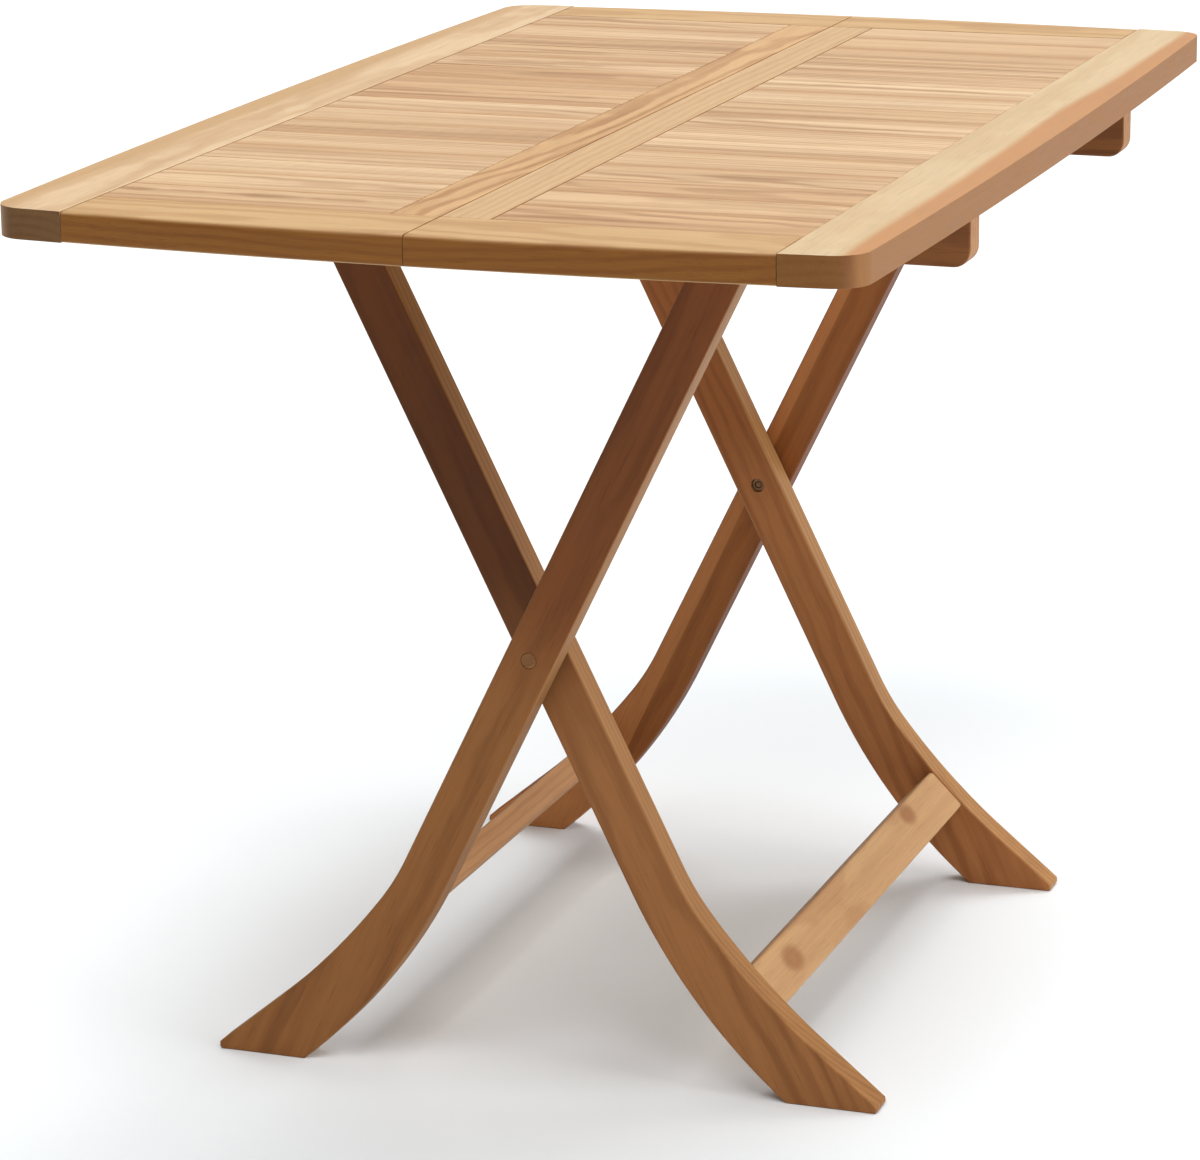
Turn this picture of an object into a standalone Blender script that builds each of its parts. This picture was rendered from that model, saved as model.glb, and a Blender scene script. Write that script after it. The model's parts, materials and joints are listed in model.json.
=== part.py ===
"""A folding slatted table in solid teak, on two crossed pairs of sabre legs.

X runs across the table, along the slats. Y runs along the table. Z is up, and the floor is Z = 0.
The inner leg frame turns on two bolts in the battens, at X < 0. The outer leg frame turns on the two
scissor bolts, where the legs cross, and its top bar sits in a notch under each batten, at X > 0. To fold
the table, the top is lifted off the bar and swung over until it lies along the closed legs.
"""

import math

import bmesh
import bpy
from mathutils import Matrix, Vector

# Driving dimensions, in metres.
TOP_WIDTH = 0.700
TOP_LENGTH = 1.150
TOP_HEIGHT = 0.755
TOP_THICK = 0.024
SIDE_BOW = 0.0085
END_BOW = 0.018
CORNER_RADIUS = 0.028
STILE_INNER_X = 0.281
MIDDLE_STILE_X = 0.040
RAIL_INNER_Y = 0.500
SLATS_PER_PANEL = 16
SLAT_GAP = 0.0010
JOINT_GAP = 0.0006
TONGUE_LENGTH = 0.009
TONGUE_THICK = 0.008

BATTEN_Y = 0.2545
BATTEN_THICK = 0.027
BATTEN_DEPTH = 0.040
BATTEN_HALF = 0.3435
BATTEN_CORNER = 0.014
NOTCH_DEPTH = 0.008
NOTCH_ENTRY = 0.035

LEG_WIDTH = 0.041
LEG_THICK = 0.027
LEG_ANGLE = math.radians(26.15)
PIVOT_HEIGHT = 0.364
HINGE_HEIGHT = 0.708
BAR_HEIGHT = 0.688
BAR_RADIUS = 0.010
BAR_SEAT = 0.015
INNER_LEG_Y = 0.285
OUTER_LEG_Y = 0.3155

STRETCHER_WIDTH = 0.042
STRETCHER_THICK = 0.024
STRETCHER_INSET = 0.0015
STRETCHER_HEIGHT = 0.091
TENON_LENGTH = 0.012
TENON_WIDTH = 0.026
TENON_THICK = 0.010

SHANK_RADIUS = 0.003
BORE_RADIUS = 0.0033
HINGE_HEAD_RADIUS = 0.0085
SHOULDER_RADIUS = 0.0050
PLUG_RADIUS = 0.0065
NUT_RADIUS = 0.0058
RUNNING_GAP = 0.0003

# Places worked out from the dimensions above.
TOP_UNDERSIDE = TOP_HEIGHT - TOP_THICK
BATTEN_BOTTOM = TOP_UNDERSIDE - BATTEN_DEPTH
LEG_DOWN = Vector((math.sin(LEG_ANGLE), -math.cos(LEG_ANGLE)))
LEG_SIDE = Vector((math.cos(LEG_ANGLE), math.sin(LEG_ANGLE)))
PIVOT = Vector((0.0, PIVOT_HEIGHT))
HINGE = PIVOT - LEG_DOWN * ((HINGE_HEIGHT - PIVOT_HEIGHT) / math.cos(LEG_ANGLE))
BAR_ARM = (BAR_HEIGHT - PIVOT_HEIGHT) / math.cos(LEG_ANGLE)
BAR_X = BAR_ARM * math.sin(LEG_ANGLE)
NEAR = -1
FAR = 1

TEAK_TOP = (0.68, 0.45, 0.25)
TEAK_LEG = (0.47, 0.27, 0.13)
BRASS = (0.72, 0.55, 0.25)
STEEL = (0.55, 0.54, 0.52)


def start():
    """Clears the scene and makes the two collections and the three assembly empties."""
    for obj in list(bpy.data.objects):
        bpy.data.objects.remove(obj, do_unlink=True)
    scene = bpy.context.scene
    groups = {}
    for name in ("folding_table", "cutters"):
        groups[name] = bpy.data.collections.new(name)
        scene.collection.children.link(groups[name])
    groups["cutters"].hide_render = True
    return groups


GROUPS = start()


def empty(name, location):
    obj = bpy.data.objects.new(name, None)
    obj.location = location
    GROUPS["folding_table"].objects.link(obj)
    return obj


TOP_ORIGIN = empty("top_origin", (0.0, 0.0, TOP_UNDERSIDE + TOP_THICK / 2))
HINGE_AXIS = empty("hinge_axis", (HINGE.x, 0.0, HINGE.y))
SCISSOR_AXIS = empty("scissor_axis", (PIVOT.x, 0.0, PIVOT.y))


def material(name, colour, roughness, metallic):
    made = bpy.data.materials.new(name)
    made.use_nodes = True
    shader = made.node_tree.nodes["Principled BSDF"]
    shader.inputs["Base Color"].default_value = (*colour, 1.0)
    shader.inputs["Roughness"].default_value = roughness
    shader.inputs["Metallic"].default_value = metallic
    made.diffuse_color = (*colour, 1.0)
    return made


def shade_of(colour, factor):
    return tuple(min(1.0, channel * factor) for channel in colour)


def place(obj, parent, world, colour, roughness=0.55, metallic=0.0):
    """Files a piece under its assembly, at a world place, with a material of its own."""
    obj.data.materials.clear()
    obj.data.materials.append(material(obj.name, colour, roughness, metallic))
    obj.parent = parent
    obj.location = Vector(world) - parent.location
    GROUPS["folding_table"].objects.link(obj)
    return obj


def cutter(obj, location, rotation=(0.0, 0.0, 0.0)):
    obj.location = location
    obj.rotation_euler = rotation
    obj.hide_render = True
    obj.display_type = "WIRE"
    GROUPS["cutters"].objects.link(obj)
    return obj


def object_from(mesh_builder, name):
    """An unlinked mesh object filled by mesh_builder(bm)."""
    shape = bmesh.new()
    mesh_builder(shape)
    mesh = bpy.data.meshes.new(name)
    shape.to_mesh(mesh)
    shape.free()
    return bpy.data.objects.new(name, mesh)


def plate(name, outline, thickness, upright=False):
    """A flat piece: an outline in XY (or, upright, in XZ) with its thickness centred on the plane."""
    curve = bpy.data.curves.new(name + "_outline", "CURVE")
    curve.dimensions = "2D"
    curve.fill_mode = "BOTH"
    curve.extrude = thickness / 2
    spline = curve.splines.new("POLY")
    spline.points.add(len(outline) - 1)
    for point, (u, v) in zip(spline.points, outline):
        point.co = (u, v, 0.0, 1.0)
    spline.use_cyclic_u = True
    holder = bpy.data.objects.new(name + "_outline", curve)
    bpy.context.scene.collection.objects.link(holder)
    graph = bpy.context.evaluated_depsgraph_get()
    mesh = bpy.data.meshes.new_from_object(holder.evaluated_get(graph))
    shape = bmesh.new()
    shape.from_mesh(mesh)
    bmesh.ops.remove_doubles(shape, verts=shape.verts, dist=1e-6)
    flat = [edge for edge in shape.edges if edge.calc_face_angle(1.0) < 1e-4]
    bmesh.ops.dissolve_edges(shape, edges=flat, use_verts=False)
    if upright:
        bmesh.ops.rotate(shape, verts=shape.verts, matrix=Matrix.Rotation(math.pi / 2, 3, "X"))
    bmesh.ops.recalc_face_normals(shape, faces=shape.faces)
    shape.to_mesh(mesh)
    shape.free()
    bpy.data.objects.remove(holder, do_unlink=True)
    mesh.name = name
    mesh.materials.clear()
    return bpy.data.objects.new(name, mesh)


def box(name, size):
    def build(shape):
        bmesh.ops.create_cube(shape, size=1.0, matrix=Matrix.Diagonal((*size, 1.0)))

    return object_from(build, name)


def cylinder(name, radius, length, sides=32):
    """A cylinder on its own Z axis."""

    def build(shape):
        bmesh.ops.create_cone(
            shape, cap_ends=True, segments=sides, radius1=radius, radius2=radius, depth=length
        )

    return object_from(build, name)


def turned(name, profile, steps=32, closed=False):
    """A turned piece: (radius, height) points down its outer side, spun about Z by a Screw."""
    mesh = bpy.data.meshes.new(name)
    ends = [(i, i + 1) for i in range(len(profile) - 1)]
    if closed:
        ends.append((len(profile) - 1, 0))
    mesh.from_pydata([(radius, 0.0, height) for radius, height in profile], ends, [])
    obj = bpy.data.objects.new(name, mesh)
    screw = obj.modifiers.new("turn", "SCREW")
    screw.steps = steps
    screw.render_steps = steps
    screw.use_merge_vertices = True
    screw.merge_threshold = 1e-5
    screw.use_smooth_shade = True
    return obj


def round_edges(obj, width, segments, weigh):
    """Rounds each edge by width times weigh(first end, second end), where that is above 0."""
    weights = obj.data.attributes.new("bevel_weight_edge", "FLOAT", "EDGE")
    for edge in obj.data.edges:
        ends = [obj.data.vertices[index].co for index in edge.vertices]
        weights.data[edge.index].value = weigh(*ends)
    bevel = obj.modifiers.new("rounding", "BEVEL")
    bevel.limit_method = "WEIGHT"
    bevel.width = width
    bevel.segments = segments
    bevel.use_clamp_overlap = True
    return obj


def cut(obj, tool):
    boolean = obj.modifiers.new("cut", "BOOLEAN")
    boolean.operation = "DIFFERENCE"
    boolean.object = tool


def bore(obj, x, y, z, radius, length):
    """Cuts a round hole along Y, centred on (x, y, z)."""
    tool = cylinder(obj.name + "_bore", radius, length)
    cut(obj, cutter(tool, (x, y, z), (math.pi / 2, 0.0, 0.0)))


# ---------------------------------------------------------------- outline of the top


def side_x(y):
    """The bowed long edge at X > 0."""
    return TOP_WIDTH / 2 - SIDE_BOW * (y / (TOP_LENGTH / 2)) ** 2


def end_y(x):
    """The bowed short edge at Y > 0."""
    return TOP_LENGTH / 2 - END_BOW * (x / (TOP_WIDTH / 2)) ** 2


def corner_arc(steps=8):
    """Points round the corner at X > 0 and Y > 0, from the short edge to the long edge."""
    x = TOP_WIDTH / 2 - CORNER_RADIUS
    y = TOP_LENGTH / 2 - CORNER_RADIUS
    for _ in range(12):
        end_slope = -2 * END_BOW * x / (TOP_WIDTH / 2) ** 2
        side_slope = -2 * SIDE_BOW * y / (TOP_LENGTH / 2) ** 2
        y = end_y(x) - CORNER_RADIUS * math.hypot(1.0, end_slope)
        x = side_x(y) - CORNER_RADIUS * math.hypot(1.0, side_slope)
    first = math.pi / 2 + math.atan(end_slope)
    last = -math.atan(side_slope)
    turns = [first + (last - first) * i / steps for i in range(steps + 1)]
    return [(x + CORNER_RADIUS * math.cos(a), y + CORNER_RADIUS * math.sin(a)) for a in turns]


def spaced(start, end, steps):
    return [start + (end - start) * i / steps for i in range(steps + 1)]


def outer_stile_outline():
    """The board at X > 0: a straight inner edge, a bowed outer edge and two round corners."""
    arc = corner_arc()
    far_end = [(x, end_y(x)) for x in spaced(STILE_INNER_X, arc[0][0], 3)][:-1]
    quarter = far_end + arc
    side = [(side_x(y), y) for y in spaced(arc[-1][1], -arc[-1][1], 16)][1:-1]
    mirrored = [(x, -y) for x, y in reversed(quarter)]
    return quarter + side + mirrored


def on_outer_edge(point):
    """Whether a point of a top board lies on the outer edge of the whole top."""
    x = abs(point.x)
    y = abs(point.y)
    inside = x < side_x(y) - 0.002 and y < end_y(x) - 0.002
    in_corner = math.hypot(x, y) < math.hypot(*corner_arc()[4]) - 0.002
    return not (inside and in_corner)


def weigh_top_board(a, b):
    """Full rounding on the outer top edge, less below it, and a light arris at each seam."""
    if abs(a.z - b.z) > 1e-5:
        return 0.0
    outer = on_outer_edge(a) and on_outer_edge(b) and on_outer_edge((a + b) / 2)
    if a.z > 0:
        return 1.0 if outer else 0.16
    return 0.6 if outer else 0.0


# ---------------------------------------------------------------- the top


def groove(obj, x):
    """The long groove that takes the tongues of the slats."""
    width = 2 * (TONGUE_LENGTH + 0.001)
    length = 2 * RAIL_INNER_Y + 0.030
    tool = box(obj.name + "_groove", (width, length, TONGUE_THICK + 2 * RUNNING_GAP))
    cut(obj, cutter(tool, (x, 0.0, TOP_UNDERSIDE + TOP_THICK / 2)))


def board(name, outline, tone):
    obj = plate(name, outline, TOP_THICK)
    round_edges(obj, 0.005, 3, weigh_top_board)
    return place(obj, TOP_ORIGIN, TOP_ORIGIN.location, shade_of(TEAK_TOP, tone))


def outer_stile(name, side, tone):
    outline = [(side * x, y) for x, y in outer_stile_outline()]
    obj = board(name, outline, tone)
    groove(obj, side * STILE_INNER_X)
    return obj


def middle_stile(name, side, tone):
    near_x = side * JOINT_GAP / 2
    far_x = side * MIDDLE_STILE_X
    y = RAIL_INNER_Y - JOINT_GAP
    obj = board(name, [(near_x, -y), (far_x, -y), (far_x, y), (near_x, y)], tone)
    groove(obj, far_x)
    return obj


def rail(name, side, end, tone):
    """Half of an end rail: straight inside, bowed outside."""
    first = JOINT_GAP / 2
    last = STILE_INNER_X - JOINT_GAP
    outer = [(side * x, end * end_y(x)) for x in spaced(first, last, 8)]
    inner = [(side * last, end * RAIL_INNER_Y), (side * first, end * RAIL_INNER_Y)]
    return board(name, outer + inner, tone)


def slat(name, side, number, tone):
    """A cross slat with a tongue at each end, housed in the grooves of the stiles."""
    pitch = 2 * RAIL_INNER_Y / SLATS_PER_PANEL
    width = pitch - SLAT_GAP
    first = MIDDLE_STILE_X + JOINT_GAP
    last = STILE_INNER_X - JOINT_GAP
    half = (last - first) / 2
    tongue = half + TONGUE_LENGTH
    top = TOP_THICK / 2
    lip = TONGUE_THICK / 2
    upper = [(half, top), (half, lip), (tongue, lip)]
    corner = upper + [(x, -z) for x, z in reversed(upper)]
    outline = corner + [(-x, -z) for x, z in corner]
    obj = plate(name, outline, width, upright=True)

    def weigh(a, b):
        on_top = a.z > top - 1e-5 and b.z > top - 1e-5
        return (1.0 if abs(a.y - b.y) < 1e-5 else 0.6) if on_top else 0.0

    round_edges(obj, 0.0013, 2, weigh)
    y = -RAIL_INNER_Y + pitch * (number + 0.5)
    centre = (side * (first + half), y, TOP_ORIGIN.location.z)
    return place(obj, TOP_ORIGIN, centre, shade_of(TEAK_TOP, tone))


def make_top():
    outer_stile("left_outer_stile", -1, 0.96)
    outer_stile("right_outer_stile", 1, 1.08)
    middle_stile("left_middle_stile", -1, 0.92)
    middle_stile("right_middle_stile", 1, 1.04)
    for side, side_name in ((-1, "left"), (1, "right")):
        for end, end_name in ((NEAR, "near"), (FAR, "far")):
            rail(f"{end_name}_rail_{side_name}", side, end, 0.98 + 0.02 * side)
        for number in range(SLATS_PER_PANEL):
            tone = 1.0 + 0.08 * math.sin(2.4 * number + side)
            slat(f"{side_name}_slat_{number + 1:02d}", side, number, tone)


# ---------------------------------------------------------------- the battens


def batten_outline():
    """Side view of a batten: rounded lower corners, and a notch whose shoulder stops the top bar."""
    top = BATTEN_DEPTH / 2
    shoulder = BAR_X + BAR_RADIUS + 0.0005
    entry = BAR_X - NOTCH_ENTRY
    notch = [(entry - NOTCH_DEPTH, -top), (entry, NOTCH_DEPTH - top)]
    notch += [(shoulder, NOTCH_DEPTH - top), (shoulder, -top)]
    right = []
    for step in range(7):
        turn = -math.pi / 2 + math.pi / 2 * step / 6
        x = BATTEN_HALF - BATTEN_CORNER + BATTEN_CORNER * math.cos(turn)
        right.append((x, BATTEN_CORNER - top + BATTEN_CORNER * math.sin(turn)))
    left = [(-x, z) for x, z in reversed(right)]
    return left + notch + right + [(BATTEN_HALF, top), (-BATTEN_HALF, top)]


def make_batten(name, end):
    obj = plate(name, batten_outline(), BATTEN_THICK, upright=True)
    top = BATTEN_DEPTH / 2

    def weigh(a, b):
        along_face = abs(a.y - b.y) < 1e-5
        return 1.0 if along_face and min(a.z, b.z) < top - 1e-5 else 0.0

    round_edges(obj, 0.0015, 2, weigh)
    middle = (0.0, end * BATTEN_Y, BATTEN_BOTTOM + BATTEN_DEPTH / 2 - RUNNING_GAP)
    place(obj, TOP_ORIGIN, middle, shade_of(TEAK_LEG, 1.05))
    bore(obj, HINGE.x, end * BATTEN_Y, HINGE.y, BORE_RADIUS, 0.040)


# ---------------------------------------------------------------- the legs

UPPER_BEND_HEIGHT = 0.185
UPPER_BENDS = ((math.radians(38.0), 0.22), (math.radians(50.5), 0.62))
LOWER_BEND_HEIGHT = 0.165
LOWER_BEND_RADIUS = 0.50
TOE_HEIGHT = 0.006


def normal_at(angle):
    """Unit vector square to a leg edge that stands at this angle from the vertical."""
    return Vector((math.cos(angle), math.sin(angle)))


def bend(start, first, last, radius, steps):
    """Points along an arc that leaves start and turns the edge from angle first to angle last."""
    centre = start + normal_at(first) * radius
    return [centre - normal_at(a) * radius for a in spaced(first, last, steps)][1:]


def straight_edge(side, height):
    """The point at this height on the upper (side 1) or lower (side -1) edge of the straight part."""
    start = PIVOT + LEG_SIDE * (side * LEG_WIDTH / 2)
    return start + LEG_DOWN * ((start.y - height) / math.cos(LEG_ANGLE))


def leg_outline(top_centre):
    """A sabre leg that leans down to X > 0, from a round top end to a flat foot with a pointed toe."""
    turns = spaced(0.0, math.pi, 10)
    half = LEG_WIDTH / 2
    outline = [top_centre + (LEG_SIDE * math.cos(a) - LEG_DOWN * math.sin(a)) * half for a in turns]
    lower = straight_edge(-1, LOWER_BEND_HEIGHT)
    centre = lower + normal_at(LEG_ANGLE) * LOWER_BEND_RADIUS
    foot_angle = math.asin(centre.y / LOWER_BEND_RADIUS)
    outline += [lower] + bend(lower, LEG_ANGLE, foot_angle, LOWER_BEND_RADIUS, 9)
    upper = straight_edge(1, UPPER_BEND_HEIGHT)
    edge = [upper]
    angle = LEG_ANGLE
    for (next_angle, radius), steps in zip(UPPER_BENDS, (5, 6)):
        edge += bend(edge[-1], angle, next_angle, radius, steps)
        angle = next_angle
    toe = edge[-1] + Vector((math.sin(angle), -math.cos(angle))) * (
        (edge[-1].y - TOE_HEIGHT) / math.cos(angle)
    )
    blunt = Vector((toe.x + 0.0004, 0.0022))
    outline += [Vector((toe.x - 0.0012, 0.0)), blunt, toe]
    outline += list(reversed(edge))
    return outline


def stretcher_frame():
    """The middle and the angle of the stretcher's section, let in flush with the leg's upper edge."""
    upper = straight_edge(1, UPPER_BEND_HEIGHT)
    edge = bend(upper, LEG_ANGLE, UPPER_BENDS[0][0], UPPER_BENDS[0][1], 5)
    centre = edge[-1] + normal_at(UPPER_BENDS[0][0]) * UPPER_BENDS[1][1]
    angle = math.asin((centre.y - STRETCHER_HEIGHT) / UPPER_BENDS[1][1])
    face = centre - normal_at(angle) * UPPER_BENDS[1][1]
    middle = face - normal_at(angle) * (STRETCHER_INSET + STRETCHER_THICK / 2)
    return middle, angle


def place_leg(name, lean, y, parent, top_centre, tone):
    """lean 1 is an inner leg, down to X > 0, and lean -1 an outer leg, down to X < 0."""
    outline = [(lean * (p.x - PIVOT.x), p.y - PIVOT.y) for p in leg_outline(top_centre)]
    if lean < 0:
        outline.reverse()
    obj = plate(name, outline, LEG_THICK, upright=True)
    foot = -PIVOT_HEIGHT + 1e-4

    def weigh(a, b):
        along_face = abs(a.y - b.y) < 1e-5
        on_floor = max(a.z, b.z) < foot
        return (0.5 if on_floor else 1.0) if along_face else 0.0

    round_edges(obj, 0.0022, 2, weigh)
    offset = Vector((PIVOT.x, y, PIVOT.y)) - parent.location
    obj.data.transform(Matrix.Translation(offset))
    place(obj, parent, parent.location, shade_of(TEAK_LEG, tone))
    middle, angle = stretcher_frame()
    inward = -1 if y > 0 else 1
    hole_size = (TENON_THICK + 0.0006, 2 * (TENON_LENGTH + 0.001), TENON_WIDTH + 0.0006)
    mortise = box(name + "_mortise", hole_size)
    face_y = y + inward * LEG_THICK / 2
    cut(obj, cutter(mortise, (lean * middle.x, face_y, middle.y), (0.0, -lean * angle, 0.0)))
    return obj


def stretcher(name, lean, half_span, parent, tone):
    """The board between two feet, with a tenon at each end, made as a body with two tenons joined on."""
    middle, angle = stretcher_frame()
    shoulder = half_span - RUNNING_GAP
    obj = box(name, (STRETCHER_THICK, 2 * shoulder, STRETCHER_WIDTH))

    def weigh(a, b):
        return 1.0 if abs(a.y - b.y) > 0.1 else 0.0

    round_edges(obj, 0.0025, 2, weigh)
    tenon = box(name + "_tenon", (TENON_THICK, 2 * (shoulder + TENON_LENGTH), TENON_WIDTH))
    place(obj, parent, (lean * middle.x, 0.0, middle.y), shade_of(TEAK_LEG, tone))
    obj.rotation_euler = (0.0, -lean * angle, 0.0)
    cutter(tenon, (lean * middle.x, 0.0, middle.y), (0.0, -lean * angle, 0.0))
    joined = obj.modifiers.new("tenons", "BOOLEAN")
    joined.operation = "UNION"
    joined.object = tenon
    return obj


def make_inner_frame():
    for end, word in ((NEAR, "near"), (FAR, "far")):
        leg = place_leg(f"inner_leg_{word}", 1, end * INNER_LEG_Y, HINGE_AXIS, HINGE, 1.0)
        outer_face = end * (INNER_LEG_Y + LEG_THICK / 2)
        inner_face = end * (INNER_LEG_Y - LEG_THICK / 2)
        bore(leg, HINGE.x, end * INNER_LEG_Y, HINGE.y, SHOULDER_RADIUS + RUNNING_GAP, 0.040)
        bore(leg, HINGE.x, outer_face, HINGE.y, HINGE_HEAD_RADIUS + 0.001, 0.010)
        bore(leg, PIVOT.x, end * INNER_LEG_Y, PIVOT.y, BORE_RADIUS, 0.040)
        bore(leg, PIVOT.x, inner_face, PIVOT.y, NUT_RADIUS + 0.0006, 0.014)
    stretcher("inner_stretcher", 1, INNER_LEG_Y - LEG_THICK / 2, HINGE_AXIS, 1.25)


def make_outer_frame():
    bar_centre = PIVOT - LEG_DOWN * BAR_ARM
    for end, word in ((NEAR, "near"), (FAR, "far")):
        leg = place_leg(f"outer_leg_{word}", -1, end * OUTER_LEG_Y, SCISSOR_AXIS, bar_centre, 0.95)
        outer_face = end * (OUTER_LEG_Y + LEG_THICK / 2)
        inner_face = end * (OUTER_LEG_Y - LEG_THICK / 2)
        bore(leg, PIVOT.x, end * OUTER_LEG_Y, PIVOT.y, BORE_RADIUS, 0.040)
        bore(leg, PIVOT.x, outer_face, PIVOT.y, PLUG_RADIUS + RUNNING_GAP, 0.020)
        bore(leg, BAR_X, inner_face, BAR_HEIGHT, BAR_RADIUS + RUNNING_GAP, 2 * BAR_SEAT)
    stretcher("outer_stretcher", -1, OUTER_LEG_Y - LEG_THICK / 2, SCISSOR_AXIS, 1.15)
    length = 2 * (OUTER_LEG_Y - LEG_THICK / 2 + BAR_SEAT - 0.0006)
    bar = turned("top_bar", [(0.0, length / 2), (0.009, length / 2), (BAR_RADIUS, length / 2 - 0.001),
                             (BAR_RADIUS, 0.001 - length / 2), (0.009, -length / 2), (0.0, -length / 2)])
    place(bar, SCISSOR_AXIS, (BAR_X, 0.0, BAR_HEIGHT), shade_of(TEAK_LEG, 1.1))
    bar.rotation_euler = (math.pi / 2, 0.0, 0.0)


# ---------------------------------------------------------------- bolts, nuts, washers and plugs


def on_y_axis(obj, parent, x, y, z, end, colour, roughness, metallic):
    """Places a turned piece with its +Z end facing outwards along Y."""
    place(obj, parent, (x, y, z), colour, roughness, metallic)
    obj.rotation_euler = (-end * math.pi / 2, 0.0, 0.0)


def ring_profile(outer, inner, thickness):
    half = thickness / 2
    return [(outer, half), (outer, -half), (inner, -half), (inner, half)]


def make_hinge_bolt(end, word):
    """A shoulder bolt: the inner leg turns on its shoulder, and its thinner end is let into the batten."""
    head_top = INNER_LEG_Y + LEG_THICK / 2 - 0.0008
    shoulder_end = head_top - (BATTEN_Y + BATTEN_THICK / 2 + RUNNING_GAP)
    tip = shoulder_end + 0.022
    head = HINGE_HEAD_RADIUS
    profile = [(0.0, 0.0), (head * 0.6, -0.0005), (head, -0.0014), (head, -0.0038)]
    profile += [(SHOULDER_RADIUS, -0.0038), (SHOULDER_RADIUS, -shoulder_end)]
    profile += [(SHANK_RADIUS, -shoulder_end), (SHANK_RADIUS, 0.0006 - tip)]
    profile += [(SHANK_RADIUS - 0.0006, -tip), (0.0, -tip)]
    bolt = turned(f"hinge_bolt_{word}", profile)
    on_y_axis(bolt, HINGE_AXIS, HINGE.x, end * head_top, HINGE.y, end, BRASS, 0.3, 1.0)


def make_scissor_bolt(end, word):
    """Through both legs where they cross, its head under a wooden plug and its nut let in inside."""
    outer_face = OUTER_LEG_Y + LEG_THICK / 2
    plug_height = 0.005
    head_top = outer_face - plug_height - 2 * RUNNING_GAP
    recess_floor = INNER_LEG_Y - LEG_THICK / 2 + 0.007
    nut_height = 0.004
    nut_centre = recess_floor - RUNNING_GAP - nut_height / 2
    length = head_top - (nut_centre - nut_height / 2 + 0.0004)
    profile = [(0.0, 0.0), (0.0052, 0.0), (0.006, -0.0008), (0.006, -0.0036), (SHANK_RADIUS, -0.0036)]
    profile += [(SHANK_RADIUS, 0.0006 - length), (SHANK_RADIUS - 0.0006, -length), (0.0, -length)]
    bolt = turned(f"scissor_bolt_{word}", profile)
    on_y_axis(bolt, SCISSOR_AXIS, PIVOT.x, end * head_top, PIVOT.y, end, STEEL, 0.3, 1.0)
    legs_gap = (OUTER_LEG_Y - LEG_THICK / 2) - (INNER_LEG_Y + LEG_THICK / 2)
    middle = (OUTER_LEG_Y + INNER_LEG_Y) / 2
    washer = turned(
        f"scissor_washer_{word}", ring_profile(0.0095, BORE_RADIUS, legs_gap - 2 * RUNNING_GAP), closed=True
    )
    on_y_axis(washer, SCISSOR_AXIS, PIVOT.x, end * middle, PIVOT.y, end, BRASS, 0.35, 1.0)
    nut = turned(f"scissor_nut_{word}", ring_profile(NUT_RADIUS, BORE_RADIUS, nut_height), closed=True)
    on_y_axis(nut, SCISSOR_AXIS, PIVOT.x, end * nut_centre, PIVOT.y, end, STEEL, 0.35, 1.0)
    profile = [(0.0, 0.0), (PLUG_RADIUS - 0.0006, 0.0), (PLUG_RADIUS, -0.0006)]
    profile += [(PLUG_RADIUS, -plug_height), (0.0, -plug_height)]
    plug = turned(f"bolt_plug_{word}", profile)
    shade = shade_of(TEAK_LEG, 1.15)
    on_y_axis(plug, SCISSOR_AXIS, PIVOT.x, end * outer_face, PIVOT.y, end, shade, 0.5, 0.0)


def main():
    make_top()
    for end, word in ((NEAR, "near"), (FAR, "far")):
        make_batten(f"{word}_batten", end)
        make_hinge_bolt(end, word)
        make_scissor_bolt(end, word)
    make_inner_frame()
    make_outer_frame()


main()
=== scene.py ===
"""The looks of the folding teak table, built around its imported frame.

Every wooden piece is made again here with fine rounding and its own cut of procedural teak, in which
the piece's own X axis is the grain. The metal pieces keep their CAD shapes.
"""

import json
import math
import random

import bmesh
import bpy
from mathutils import Matrix, Vector


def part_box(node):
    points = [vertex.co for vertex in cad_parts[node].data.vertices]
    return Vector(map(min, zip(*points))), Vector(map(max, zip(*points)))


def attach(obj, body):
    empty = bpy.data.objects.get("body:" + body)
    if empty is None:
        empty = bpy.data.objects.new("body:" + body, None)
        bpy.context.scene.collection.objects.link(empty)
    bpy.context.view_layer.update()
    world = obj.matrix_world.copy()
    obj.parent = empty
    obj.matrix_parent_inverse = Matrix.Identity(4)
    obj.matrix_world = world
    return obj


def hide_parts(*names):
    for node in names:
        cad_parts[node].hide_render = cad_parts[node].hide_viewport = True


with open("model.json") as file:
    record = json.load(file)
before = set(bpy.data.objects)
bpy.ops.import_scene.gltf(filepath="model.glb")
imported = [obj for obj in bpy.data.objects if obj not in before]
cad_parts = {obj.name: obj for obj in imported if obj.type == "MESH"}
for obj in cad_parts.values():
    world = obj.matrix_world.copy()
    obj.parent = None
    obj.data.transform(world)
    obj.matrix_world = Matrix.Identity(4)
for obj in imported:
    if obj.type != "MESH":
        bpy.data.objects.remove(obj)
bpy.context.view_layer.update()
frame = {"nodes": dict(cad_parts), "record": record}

BODY_OF = {
    node: body
    for body, nodes in frame["record"]["behaviour"]["bodies"].items()
    for node in nodes
}
X = Vector((1.0, 0.0, 0.0))
Y = Vector((0.0, 1.0, 0.0))
Z = Vector((0.0, 0.0, 1.0))
DRAW = random.Random(11)


def srgb(red, green, blue):
    """A linear colour from 0 to 255 display values."""
    return tuple(
        v / 12.92 if v <= 0.04045 else ((v + 0.055) / 1.055) ** 2.4
        for v in (red / 255, green / 255, blue / 255)
    )


def blend(first, second, share):
    return tuple(a + (b - a) * share for a, b in zip(first, second))


def tinted(colour, tint):
    return tuple(a * b for a, b in zip(colour, tint))


# ---------------------------------------------------------------- sizes, read from the frame

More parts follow.
